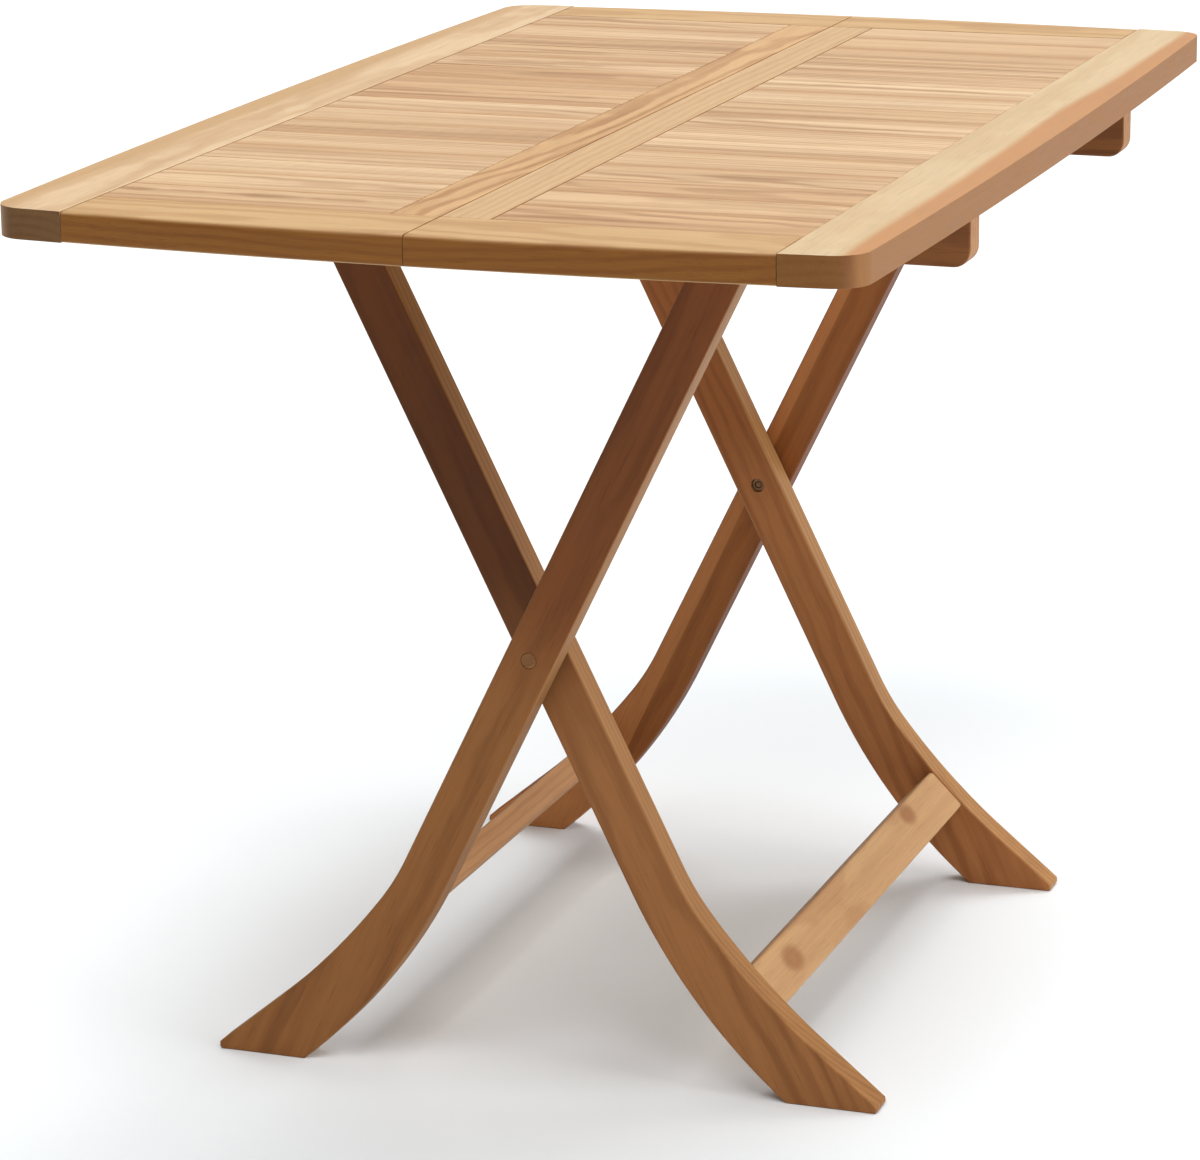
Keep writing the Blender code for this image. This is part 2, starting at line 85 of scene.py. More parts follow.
stile_low, stile_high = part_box("right_outer_stile")
middle_low, middle_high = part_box("right_middle_stile")
rail_low, rail_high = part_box("far_rail_right")
batten_low, batten_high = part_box("far_batten")
bar_low, bar_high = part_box("top_bar")
scissor_low, scissor_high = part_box("scissor_bolt_far")
hinge_low, hinge_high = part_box("hinge_bolt_far")

TOP_LOW = stile_low.z
TOP_HIGH = stile_high.z
HALF_WIDTH = stile_high.x
HALF_LENGTH = rail_high.y
SEAM = 0.0003
STILE_INNER_X = stile_low.x
RAIL_INNER_Y = rail_low.y
SIDE_BOW = 0.0085
END_BOW = 0.018
CORNER_RADIUS = 0.028
TONGUE_LENGTH = 0.009
TONGUE_HALF = 0.004
SAME = 1e-5
SHARP_ANGLE = math.radians(38)

BOARD_ROUNDING = 0.0056
SLAT_ROUNDING = 0.0014
BATTEN_ROUNDING = 0.0018
LEG_ROUNDING = 0.0020
STRETCHER_ROUNDING = 0.0028
BAR_ROUNDING = 0.001
PLUG_ROUNDING = 0.0006

PIVOT = Vector(((scissor_low.x + scissor_high.x) / 2, (scissor_low.z + scissor_high.z) / 2))
HINGE = Vector(((hinge_low.x + hinge_high.x) / 2, (hinge_low.z + hinge_high.z) / 2))
BAR = Vector(((bar_low.x + bar_high.x) / 2, (bar_low.z + bar_high.z) / 2))
BAR_RADIUS = (bar_high.x - bar_low.x) / 2
LEG_ANGLE = math.atan2(PIVOT.x - HINGE.x, HINGE.y - PIVOT.y)
BOLT_BORE = 0.0033
THROUGH = 0.040
LEG_WIDTH = 0.041
LEG_DOWN = Vector((math.sin(LEG_ANGLE), -math.cos(LEG_ANGLE)))
LEG_SIDE = Vector((math.cos(LEG_ANGLE), math.sin(LEG_ANGLE)))


# ---------------------------------------------------------------- shapes


def spaced(start, end, steps):
    return [start + (end - start) * i / steps for i in range(steps + 1)]


def prism(name, outline, low, high, upright=False):
    """A straight-sided solid: an outline in XY raised along Z or, upright, one in XZ raised along Y."""
    shape = bmesh.new()
    spots = [(u, low, v) if upright else (u, v, low) for u, v in outline]
    base = shape.faces.new([shape.verts.new(spot) for spot in spots])
    raised = bmesh.ops.extrude_face_region(shape, geom=[base])["geom"]
    rise = (Y if upright else Z) * (high - low)
    corners = [item for item in raised if isinstance(item, bmesh.types.BMVert)]
    bmesh.ops.translate(shape, verts=corners, vec=rise)
    bmesh.ops.recalc_face_normals(shape, faces=shape.faces)
    return made_object(name, shape)


def made_object(name, shape):
    mesh = bpy.data.meshes.new(name)
    shape.to_mesh(mesh)
    shape.free()
    obj = bpy.data.objects.new(name, mesh)
    bpy.context.scene.collection.objects.link(obj)
    return obj


def cylinder(name, radius, length, sides=48):
    """A cylinder along Y, for a bore or a dowel."""
    shape = bmesh.new()
    bmesh.ops.create_cone(
        shape, cap_ends=True, segments=sides, radius1=radius, radius2=radius, depth=length,
        matrix=Matrix.Rotation(math.pi / 2, 4, "X"),
    )
    return made_object(name, shape)


def round_edges(obj, width, segments, weigh):
    """Rounds each edge by width times weigh(first end, second end), where that is above 0."""
    weights = obj.data.attributes.new("bevel_weight_edge", "FLOAT", "EDGE")
    for edge in obj.data.edges:
        ends = [obj.data.vertices[index].co for index in edge.vertices]
        weights.data[edge.index].value = weigh(*ends)
    bevel = obj.modifiers.new("rounding", "BEVEL")
    bevel.limit_method = "WEIGHT"
    bevel.width = width
    bevel.segments = segments
    bevel.use_clamp_overlap = True


def end_edges(a, b):
    """The edges round the two ends of a piece that runs along Y."""
    return 1.0 if abs(a.y - b.y) < SAME else 0.0


def long_edges(a, b):
    """The edges from one end to the other of a piece that runs along Y."""
    return 1.0 if abs(a.y - b.y) > 0.1 else 0.0


def bore(obj, x, y, z, radius, length):
    """Cuts a round hole along Y, and returns the tool that cuts it."""
    tool = cylinder(obj.name + "_bore", radius, length)
    tool.location = (x, y, z)
    boolean = obj.modifiers.new("bore", "BOOLEAN")
    boolean.operation = "DIFFERENCE"
    boolean.object = tool
    return tool


def apply_modifiers(obj):
    """Makes the modifiers part of the mesh, and returns the new mesh."""
    evaluated = obj.evaluated_get(bpy.context.evaluated_depsgraph_get())
    mesh = bpy.data.meshes.new_from_object(evaluated)
    obj.modifiers.clear()
    obj.data = mesh
    return mesh


def settle(obj, tools=()):
    """Applies the modifiers, puts the origin in the middle of the piece and smooths its shading."""
    mesh = apply_modifiers(obj)
    for tool in tools:
        bpy.data.objects.remove(tool, do_unlink=True)
    corners = [vertex.co for vertex in mesh.vertices]
    low = Vector([min(corner[axis] for corner in corners) for axis in range(3)])
    high = Vector([max(corner[axis] for corner in corners) for axis in range(3)])
    obj.location = (low + high) / 2
    mesh.transform(Matrix.Translation(-obj.location))
    mesh.shade_smooth()
    mesh.set_sharp_from_angle(angle=SHARP_ANGLE)
    normals = obj.modifiers.new("flat faces", "WEIGHTED_NORMAL")
    normals.keep_sharp = True
    normals.weight = 90


def add_piece(obj, node, grain, up, **wood):
    """Gives the piece its own teak. grain is the way its fibres run and up the way its face looks."""
    own_axes = Matrix((grain, up.cross(grain), up))
    obj.data.materials.clear()
    obj.data.materials.append(teak(node + "_teak", own_axes.to_euler(), **wood))
    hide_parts(node)
    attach(obj, BODY_OF[node])


# ---------------------------------------------------------------- teak


class Graph:
    """Short calls that add nodes to a material and join them. A value can be a number or a socket."""

    def __init__(self, name):
        self.material = bpy.data.materials.new(name)
        self.material.use_nodes = True
        self.tree = self.material.node_tree
        self.shader = self.tree.nodes["Principled BSDF"]

    def join(self, value, socket):
        if isinstance(value, bpy.types.NodeSocket):
            self.tree.links.new(value, socket)
        elif isinstance(value, (tuple, Vector)) and len(value) == 3 and socket.type == "RGBA":
            socket.default_value = (*value, 1.0)
        else:
            socket.default_value = value

    def node(self, kind, *inputs, **settings):
        made = self.tree.nodes.new("ShaderNode" + kind)
        for key, value in settings.items():
            setattr(made, key, value)
        for socket, value in zip(made.inputs, inputs):
            if value is not None:
                self.join(value, socket)
        return made

    def math(self, operation, first, second=0.0, clamp=False):
        return self.node("Math", first, second, operation=operation, use_clamp=clamp).outputs[0]

    def ramp(self, value, low, high, low_out=0.0, high_out=1.0):
        """value from low to high becomes low_out to high_out, with soft ends."""
        made = self.node(
            "MapRange", value, low, high, low_out, high_out, interpolation_type="SMOOTHSTEP",
        )
        return made.outputs[0]

    def mix(self, factor, first, second, blend="MIX"):
        made = self.tree.nodes.new("ShaderNodeMix")
        made.data_type = "RGBA"
        made.blend_type = blend
        self.join(factor, made.inputs[0])
        self.join(first, made.inputs[6])
        self.join(second, made.inputs[7])
        return made.outputs[2]

    def noise(self, place, along, across, detail=3.0, roughness=0.55, shift=0.0):
        """Noise drawn out along the grain, with so many features per metre along it and across it."""
        scaled = self.node("Mapping", place, (shift, shift, shift), None, (along, across, across))
        made = self.node("TexNoise", scaled.outputs[0])
        made.inputs["Scale"].default_value = 1.0
        made.inputs["Detail"].default_value = detail
        made.inputs["Roughness"].default_value = roughness
        return made


WAVE_TURNS = 20.0  # radians that a wave texture turns per metre at scale 1
KNOT_SHAPE = (0.6, 1.0, 0.4)  # how a knot is squashed along the grain, across it and in depth


def teak(
    name, own_axes, pale, deep, ring_middle=(0.05, -0.09), ring_gap=0.006, ring_depth=0.45, streaks=0.5,
    wander=0.006, tilt=0.0, edge_tint=(1.0, 1.0, 1.0), end_tint=(0.6, 0.48, 0.36), band=None, figures=(),
    fade=None,
):
    """Planed teak. own_axes turns the object's axes so that X is the grain and Z the board's face.

    The growth rings run round an axis near that X axis, ring_middle beside it.

    band is (colour, where it starts, where it is full) across the piece, along its own Y axis.
    Each of figures is (where along X, where across Y, size) of a darker knot-like swirl.
    The painted shade argument is (where it starts along X, where it is full, tint) and darkens the piece
    towards one end.
    The side tint is painted light and shade on the faces that look along the piece's own Y.
    The end tint darkens the end faces: real end-grain darkening, with painted shade on the outer stiles'
    ends and painted light on the battens' ends.
    """
    graph = Graph(name)
    coordinates = graph.node("TexCoord")
    own = graph.node("Mapping", coordinates.outputs["Object"], None, own_axes).outputs[0]
    shift = tuple(DRAW.uniform(-20.0, 20.0) for _ in range(3))

    wobble = graph.noise(own, 1.7, 9.0, 2.0, 0.5, shift[0]).outputs["Color"]
    centred = graph.node("VectorMath", wobble, (0.5, 0.5, 0.5), operation="SUBTRACT").outputs[0]
    offset = graph.node("VectorMath", centred, operation="SCALE")
    offset.inputs["Scale"].default_value = wander * 4
    bent = graph.node("VectorMath", own, offset.outputs[0], operation="ADD").outputs[0]
    knots = 0.0
    for along, across, size in figures:
        centre = (-KNOT_SHAPE[0] * along, -KNOT_SHAPE[1] * across, 0.0)
        spot = graph.node("Mapping", own, centre, None, KNOT_SHAPE).outputs[0]
        far = graph.node("VectorMath", spot, operation="LENGTH").outputs["Value"]
        near_spot = graph.ramp(far, size, 0.0)
        push = graph.node("CombineXYZ", 0.0, graph.math("MULTIPLY", near_spot, size * 1.4), 0.0)
        bent = graph.node("VectorMath", bent, push.outputs[0], operation="ADD").outputs[0]
        outline = graph.math("MULTIPLY", near_spot, graph.math("SUBTRACT", 1.0, near_spot))
        outline = graph.math("MULTIPLY", outline, 2.4)
        knot = graph.math("ADD", outline, graph.math("MULTIPLY", near_spot, 0.3))
        knots = graph.math("MAXIMUM", knots, knot)
    turned = graph.node(
        "Mapping", bent, (0.0, -ring_middle[0], -ring_middle[1]), (0.0, tilt, tilt * 0.6), (1.0, 1.0, 1.0)
    ).outputs[0]
    rings = graph.node("TexWave", turned, wave_type="RINGS", rings_direction="X", wave_profile="SIN")
    rings.inputs["Scale"].default_value = math.tau / (WAVE_TURNS * ring_gap)
    rings.inputs["Distortion"].default_value = 2.2
    rings.inputs["Detail"].default_value = 2.0
    rings.inputs["Detail Scale"].default_value = 0.35
    late_wood = graph.ramp(rings.outputs["Fac"], 0.35, 1.0)

    broad = graph.ramp(graph.noise(own, 1.1, 26.0, 2.0, 0.5, shift[1]).outputs[0], 0.32, 0.68)
    streak = graph.ramp(graph.noise(own, 2.6, 100.0, 4.0, 0.6, shift[2]).outputs[0], 0.33, 0.70)
    fibre = graph.noise(own, 16.0, 900.0, 2.0, 0.5, shift[0]).outputs[0]
    pore = graph.ramp(graph.noise(own, 26.0, 1500.0, 1.0, 0.5, shift[1]).outputs[0], 0.62, 0.74)

    depth = graph.math("MULTIPLY", late_wood, ring_depth)
    depth = graph.math("ADD", depth, graph.math("MULTIPLY", streak, streaks * 0.55))
    depth = graph.math("ADD", depth, graph.math("MULTIPLY", broad, streaks * 0.45))
    depth = graph.math("SUBTRACT", depth, streaks * 0.28, clamp=True)
    colour = graph.mix(depth, pale, deep)
    if figures:
        colour = graph.mix(knots, colour, tinted(deep, (0.8, 0.7, 0.6)))
    if band:
        tone, start, full = band
        across = graph.node("SeparateXYZ", bent).outputs[1]
        colour = graph.mix(graph.ramp(across, start, full), colour, tone)
    fibres = graph.ramp(fibre, 0.25, 0.75, 0.93, 1.05)
    fibre_colour = graph.node("CombineColor", fibres, fibres, fibres).outputs[0]
    colour = graph.mix(1.0, colour, fibre_colour, "MULTIPLY")
    colour = graph.mix(graph.math("MULTIPLY", pore, 0.35), colour, tuple(v * 0.55 for v in deep))

    normal = graph.node("Mapping", coordinates.outputs["Normal"], None, own_axes).outputs[0]
    facing = graph.node("SeparateXYZ", normal)
    # Side tint: painted light and shade on the faces that look along the piece's own Y.
    sideways = graph.ramp(graph.math("ABSOLUTE", facing.outputs[1]), 0.35, 0.95)
    side_shaded_colour = graph.mix(1.0, colour, edge_tint, "MULTIPLY")
    # Painted shade: the piece darkens towards one end.
    if fade:
        start, full, tint = fade
        faded = graph.ramp(graph.node("SeparateXYZ", bent).outputs[0], start, full)
        colour = graph.mix(faded, colour, graph.mix(1.0, colour, tint, "MULTIPLY"))
    colour = graph.mix(sideways, colour, side_shaded_colour)
    # End tint: real end-grain darkening, with painted shade on the outer stiles' ends and painted light on
    # the battens' ends.
    endways = graph.ramp(graph.math("ABSOLUTE", facing.outputs[0]), 0.5, 0.95)
    colour = graph.mix(endways, colour, graph.mix(1.0, colour, end_tint, "MULTIPLY"))
    graph.join(colour, graph.shader.inputs["Base Color"])

    graph.shader.inputs["Specular IOR Level"].default_value = 0.2
    roughness = graph.ramp(fibre, 0.2, 0.8, 0.48, 0.64)
    graph.join(roughness, graph.shader.inputs["Roughness"])
    height = graph.math("SUBTRACT", graph.math("MULTIPLY", fibre, 0.5), pore)
    height = graph.math("ADD", height, graph.math("MULTIPLY", late_wood, 0.35))
    bump = graph.node("Bump")
    bump.inputs["Strength"].default_value = 0.5
    bump.inputs["Distance"].default_value = 0.0002
    graph.join(height, bump.inputs["Height"])
    graph.join(bump.outputs[0], graph.shader.inputs["Normal"])
    return graph.material


def metal(name, colour, roughness):
    """Turned metal with fine marks and a little tarnish."""
    graph = Graph(name)
    own = graph.node("TexCoord").outputs["Object"]
    marks = graph.noise(own, 500.0, 2500.0, 2.0).outputs[0]
    tarnish = graph.ramp(graph.noise(own, 240.0, 240.0, 3.0).outputs[0], 0.35, 0.7, 0.0, 0.5)
    darker = tinted(colour, (0.5, 0.5, 0.5))
    graph.join(graph.mix(tarnish, colour, darker), graph.shader.inputs["Base Color"])
    graph.join(graph.ramp(marks, 0.2, 0.8, roughness, roughness + 0.18), graph.shader.inputs["Roughness"])
    graph.shader.inputs["Metallic"].default_value = 1.0
    bump = graph.node("Bump")
    bump.inputs["Strength"].default_value = 0.3
    bump.inputs["Distance"].default_value = 0.00005
    graph.join(marks, bump.inputs["Height"])
    graph.join(bump.outputs[0], graph.shader.inputs["Normal"])
    return graph.material


# ---------------------------------------------------------------- the top


def side_x(y):
    """The bowed long edge at X > 0."""
    return HALF_WIDTH - SIDE_BOW * (y / HALF_LENGTH) ** 2


def end_y(x):
    """The bowed short edge at Y > 0."""
    return HALF_LENGTH - END_BOW * (x / HALF_WIDTH) ** 2


def corner_arc(steps=16):
    """Points round the corner at X > 0 and Y > 0, from the short edge to the long edge."""
    x = HALF_WIDTH - CORNER_RADIUS
    y = HALF_LENGTH - CORNER_RADIUS
    for _ in range(12):
        end_slope = -2 * END_BOW * x / HALF_WIDTH**2
        side_slope = -2 * SIDE_BOW * y / HALF_LENGTH**2
        y = end_y(x) - CORNER_RADIUS * math.hypot(1.0, end_slope)
        x = side_x(y) - CORNER_RADIUS * math.hypot(1.0, side_slope)
    turns = spaced(math.pi / 2 + math.atan(end_slope), -math.atan(side_slope), steps)
    return [(x + CORNER_RADIUS * math.cos(a), y + CORNER_RADIUS * math.sin(a)) for a in turns]


CORNER_REACH = math.hypot(*corner_arc()[8]) - 0.002


def on_outer_edge(point):
    x = abs(point.x)
    y = abs(point.y)
    inside = x < side_x(y) - 0.002 and y < end_y(x) - 0.002
    return not (inside and math.hypot(x, y) < CORNER_REACH)


def weigh_top_board(a, b):
    """Full rounding on the outer top edge, less below it, and a light arris at each seam."""
    if abs(a.z - b.z) > SAME:
        return 0.0
    outer = on_outer_edge(a) and on_outer_edge(b) and on_outer_edge((a + b) / 2)
    if a.z > (TOP_LOW + TOP_HIGH) / 2:
        return 1.0 if outer else 0.14
    return 0.6 if outer else 0.06


def outer_stile_outline():
    arc = corner_arc()
    far_end = [(x, end_y(x)) for x in spaced(STILE_INNER_X, arc[0][0], 6)][:-1]
    quarter = far_end + arc
    side = [(side_x(y), y) for y in spaced(arc[-1][1], -arc[-1][1], 48)][1:-1]
    return quarter + side + [(x, -y) for x, y in reversed(quarter)]


def rail_outline():
    """Half of the far end rail, at X > 0: straight inside, bowed outside."""
    low, high = rail_low.x, rail_high.x
    outer = [(x, end_y(x)) for x in spaced(low, high, 24)]
    return outer + [(high, RAIL_INNER_Y), (low, RAIL_INNER_Y)]


def middle_stile_outline():
    low, high = middle_low, middle_high
    return [(low.x, low.y), (high.x, low.y), (high.x, high.y), (low.x, high.y)]


def flat_board(node, outline, side, end, grain, **wood):
    """A frame board of the top, mirrored to its side (1 is X > 0) and its end (1 is Y > 0)."""
    outline = [(side * x, end * y) for x, y in outline]
    obj = prism(node + "_wood", outline, TOP_LOW, TOP_HIGH)
    round_edges(obj, BOARD_ROUNDING, 6, weigh_top_board)
    settle(obj)
    add_piece(obj, node, grain, Z, **wood)


def slat(node, **wood):
    """A cross slat with a tongue at each end, as long and as wide as its CAD solid."""
    low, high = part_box(node)
    middle_z = (low.z + high.z) / 2
    first = low.x + TONGUE_LENGTH
    last = high.x - TONGUE_LENGTH
    upper = [(last, high.z), (last, middle_z + TONGUE_HALF), (high.x, middle_z + TONGUE_HALF)]
    upper += [(high.x, middle_z - TONGUE_HALF), (last, middle_z - TONGUE_HALF), (last, low.z)]
    centre = (first + last) / 2
    outline = upper + [(2 * centre - x, z) for x, z in reversed(upper)]
    obj = prism(node + "_wood", outline, low.y, high.y, upright=True)

    def weigh(a, b):
        if min(a.z, b.z) > high.z - SAME:
            return 1.0 if abs(a.y - b.y) < SAME else 0.6
        return 0.5 if max(a.z, b.z) < low.z + SAME else 0.0

    round_edges(obj, SLAT_ROUNDING, 3, weigh)
    settle(obj)
    add_piece(obj, node, X, Z, **wood)


# Painted shade on the faces along the sides of the top's boards, such as the near face of the top.
TOP_SIDE_SHADE = (0.42, 0.25, 0.085)
LEFT_TONES = (
    0.45, 0.60, 0.70, 0.65, 0.60, 0.45, 0.60, 0.65,
    0.35, 0.30, 0.25, 0.55, 0.40, 0.40, 0.60, 0.45,
)
RIGHT_TONES = (
    0.25, 0.40, 0.30, 0.50, 0.50, 0.60, 0.55, 0.60,
    0.40, 0.75, 0.75, 0.50, 0.50, 0.40, 0.40, 0.55,
)


def flat_sawn_middle():
    return DRAW.uniform(-0.02, 0.02), -DRAW.uniform(0.03, 0.07)


def slat_wood(tone):
    """tone 0 is the tan end of the range and tone 1 the pale end. Most slats are darker along one edge."""
    flat_sawn = DRAW.random() < 0.45
    darker_side = DRAW.choice((-1, 1))
    deep = blend(srgb(130, 85, 48), srgb(168, 126, 84), tone)
    return {
        "pale": blend(srgb(195, 151, 105), srgb(226, 201, 164), tone),
        "deep": deep,
        "ring_middle": flat_sawn_middle() if flat_sawn else (0.16, -0.03),
        "ring_gap": DRAW.uniform(0.004, 0.008),
        "ring_depth": DRAW.uniform(0.25, 0.5),
        "streaks": DRAW.uniform(0.6, 0.95),
        "wander": DRAW.uniform(0.003, 0.008),
        "tilt": math.radians(DRAW.uniform(-2.0, 2.0)),
        # Painted highlight: the rounded long edges of each slat are made lighter.
        "edge_tint": (1.3, 1.3, 1.3),
        "band": (blend(deep, srgb(190, 150, 108), 0.65), 0.0, 0.045 * darker_side),
    }


def make_top():
    # The outer stiles' side tints are painted shade on the top's long sides; their end tints darken the end
    # grain and add painted shade.
    flat_board(
        "left_outer_stile", outer_stile_outline(), -1, 1, Y,
        pale=srgb(209, 181, 144), deep=srgb(182, 143, 102), ring_middle=(0.0, -0.12), ring_gap=0.007,
        ring_depth=0.4, tilt=math.radians(0.4), edge_tint=(0.75, 0.62, 0.48), end_tint=(0.245, 0.165, 0.09),
        band=(srgb(188, 152, 109), 0.004, 0.022),
    )
    flat_board(
        "right_outer_stile", outer_stile_outline(), 1, 1, Y,
        pale=srgb(204, 179, 141), deep=srgb(187, 154, 111), ring_middle=(0.0, -0.20), ring_gap=0.008,
        ring_depth=0.3, streaks=0.35, tilt=math.radians(0.3), edge_tint=(0.65, 0.60, 0.51),
        end_tint=(0.335, 0.18, 0.07), band=(srgb(185, 133, 86), -0.006, -0.017),
    )
    flat_board(
        "left_middle_stile", middle_stile_outline(), -1, 1, Y,
        pale=srgb(201, 162, 115), deep=srgb(163, 117, 73), ring_middle=(0.02, -0.05), ring_gap=0.007,
        ring_depth=0.6, streaks=0.7, wander=0.010, tilt=math.radians(0.8), edge_tint=TOP_SIDE_SHADE,
    )
    flat_board(
        "right_middle_stile", middle_stile_outline(), 1, 1, Y,
        pale=srgb(199, 165, 123), deep=srgb(178, 138, 95), ring_middle=(0.10, -0.10),
        ring_depth=0.35, streaks=0.4, tilt=math.radians(0.2), edge_tint=TOP_SIDE_SHADE,
    )
    for end, end_name in ((-1, "near"), (1, "far")):
        for side, side_name in ((-1, "left"), (1, "right")):
            flat_board(
                f"{end_name}_rail_{side_name}", rail_outline(), side, end, X,
                pale=srgb(196, 160, 113), deep=srgb(170, 127, 81), ring_middle=(0.01 * side, -0.08),
                ring_gap=0.007, tilt=math.radians(1.2 * side), edge_tint=TOP_SIDE_SHADE,
            )
    for side_name, tones in (("left", LEFT_TONES), ("right", RIGHT_TONES)):
        for number, tone in enumerate(tones, 1):
            slat(f"{side_name}_slat_{number:02d}", **slat_wood(tone))


# ---------------------------------------------------------------- battens

LEG_PALE = srgb(182, 122, 76)
LEG_DEEP = srgb(130, 78, 42)
# For each leg: its tone, the painted shade that darkens its upper end under the table top, and the painted
# light (three legs) and painted shade (the far outer leg) on its narrow sides.
LEG_TONES_AND_SHADING = {
    "outer_leg_near": ((0.63, 0.60, 0.44), (0.70, 0.55, 0.45), (1.20, 1.46, 2.00)),
    "inner_leg_near": ((0.72, 0.70, 0.58), (0.38, 0.27, 0.13), (1.05, 1.20, 1.22)),
    "inner_leg_far": ((0.98, 0.92, 0.80), (0.72, 0.62, 0.48), (0.93, 1.18, 1.30)),
    "outer_leg_far": ((0.80, 0.68, 0.47), (0.92, 0.90, 0.88), (0.50, 0.42, 0.30)),
}

# The far outer leg has a pale strip along its upper edge, from this far above its middle line.
PALE_STRIP = (1.14, 1.08, 0.92)
STRIP_START = 0.005
STRIP_FULL = 0.007


def batten_outline():
    """Side view of a batten: rounded lower corners, and a notch whose shoulder stops the top bar."""
    low, high = batten_low.z, batten_high.z
    half = batten_high.x
    radius = 0.014
    depth = 0.008
    entry = BAR.x - 0.035
    shoulder = BAR.x + BAR_RADIUS + 0.0005
    notch = [(entry - depth, low), (entry, low + depth), (shoulder, low + depth), (shoulder, low)]
    turns = spaced(-math.pi / 2, 0.0, 10)
    right = [(half - radius + radius * math.cos(a), low + radius + radius * math.sin(a)) for a in turns]
    left = [(-x, z) for x, z in reversed(right)]
    return left + notch + right + [(half, high), (-half, high)]


def make_batten(node):
    low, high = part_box(node)
    obj = prism(node + "_wood", batten_outline(), low.y, high.y, upright=True)

    def weigh(a, b):
        along_face = abs(a.y - b.y) < SAME
        return 1.0 if along_face and min(a.z, b.z) < high.z - SAME else 0.0

    round_edges(obj, BATTEN_ROUNDING, 4, weigh)
    tools = [bore(obj, HINGE.x, (low.y + high.y) / 2, HINGE.y, BOLT_BORE, THROUGH)]
    settle(obj, tools)
    # The batten's dark colours are painted shade under the table top; its end tint is painted light on its
    # ends.
    add_piece(
        obj, node, X, -Y, pale=srgb(134, 84, 44), deep=srgb(94, 52, 24), ring_middle=(0.02, -0.06),
        end_tint=(2.0, 2.6, 3.5),
    )


# ---------------------------------------------------------------- legs

HINGE_BORE = 0.0053
HINGE_RECESS = 0.0095
NUT_RECESS = 0.0064
PLUG_RECESS = 0.0068
UPPER_BEND_HEIGHT = 0.185
UPPER_BENDS = ((math.radians(38.0), 0.22), (math.radians(50.5), 0.62))
LOWER_BEND_HEIGHT = 0.165
LOWER_BEND_RADIUS = 0.50
TOE_HEIGHT = 0.006
STRETCHER_HEIGHT = 0.091
STRETCHER_INSET = 0.0015
STRETCHER_THICK = 0.024
STRETCHER_WIDTH = 0.042


def normal_at(angle):
    """Unit vector square to a leg edge that stands at this angle from the vertical."""
    return Vector((math.cos(angle), math.sin(angle)))


def bend(start, first, last, radius, steps):
    """Points along an arc that leaves start and turns the edge from angle first to angle last."""
    centre = start + normal_at(first) * radius
    return [centre - normal_at(a) * radius for a in spaced(first, last, steps)][1:]


def straight_edge(side, height):
    """The point at this height on the upper (side 1) or lower (side -1) edge of the straight part."""
    start = PIVOT + LEG_SIDE * (side * LEG_WIDTH / 2)
    return start + LEG_DOWN * ((start.y - height) / math.cos(LEG_ANGLE))


def leg_outline(top_centre):
    """A sabre leg that leans down to X > 0, from a round top end to a flat foot with a pointed toe."""
    half = LEG_WIDTH / 2
    turns = spaced(0.0, math.pi, 20)
    outline = [top_centre + (LEG_SIDE * math.cos(a) - LEG_DOWN * math.sin(a)) * half for a in turns]
    lower = straight_edge(-1, LOWER_BEND_HEIGHT)
    centre = lower + normal_at(LEG_ANGLE) * LOWER_BEND_RADIUS
    foot_angle = math.asin(centre.y / LOWER_BEND_RADIUS)
    outline += [lower] + bend(lower, LEG_ANGLE, foot_angle, LOWER_BEND_RADIUS, 24)
    upper = straight_edge(1, UPPER_BEND_HEIGHT)
    edge = [upper]
    angle = LEG_ANGLE
    for (next_angle, radius), steps in zip(UPPER_BENDS, (12, 14)):
        edge += bend(edge[-1], angle, next_angle, radius, steps)
        angle = next_angle
    last = edge[-1]
    toe = last + Vector((math.sin(angle), -math.cos(angle))) * ((last.y - TOE_HEIGHT) / math.cos(angle))
    outline += [Vector((toe.x - 0.0012, 0.0)), Vector((toe.x + 0.0004, 0.0022)), toe]
    return outline + list(reversed(edge))


def make_leg(node, lean, top_centre, bores, **wood):
    """lean 1 is an inner leg, down to X > 0, and lean -1 an outer leg, down to X < 0."""
    low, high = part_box(node)
    outline = [(lean * p.x, p.y) for p in leg_outline(top_centre)]
    obj = prism(node + "_wood", outline, low.y, high.y, upright=True)

    def weigh(a, b):
        on_floor = max(a.z, b.z) < 1e-4
        return (0.5 if on_floor else 1.0) if abs(a.y - b.y) < SAME else 0.0

    round_edges(obj, LEG_ROUNDING, 4, weigh)
    tools = [bore(obj, x, y, z, radius, length) for x, y, z, radius, length in bores]
    settle(obj, tools)
    # The second and third entries are painted shade for the upper end and painted light and shade for the
    # narrow sides.
    tone, upper_shade, sides = LEG_TONES_AND_SHADING[node]
    if node == "outer_leg_far":
        across = Vector((-LEG_DOWN.y, lean * LEG_DOWN.x))
        top = Vector((lean * top_centre.x - obj.location.x, top_centre.y - obj.location.z))
        middle = top.dot(across)
        wood["band"] = (tinted(LEG_PALE, PALE_STRIP), middle - STRIP_START, middle - STRIP_FULL)
    add_piece(
        obj, node, Vector((lean * LEG_DOWN.x, 0.0, LEG_DOWN.y)), -Y,
        pale=tinted(LEG_PALE, tone), deep=tinted(LEG_DEEP, tone), edge_tint=sides,
        fade=(0.03, -0.10, upper_shade), **wood,
    )


def face_distances(node):
    """How far the two faces of a leg are from the middle of the table, the nearer face first."""
    low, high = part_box(node)
    return sorted((abs(low.y), abs(high.y)))


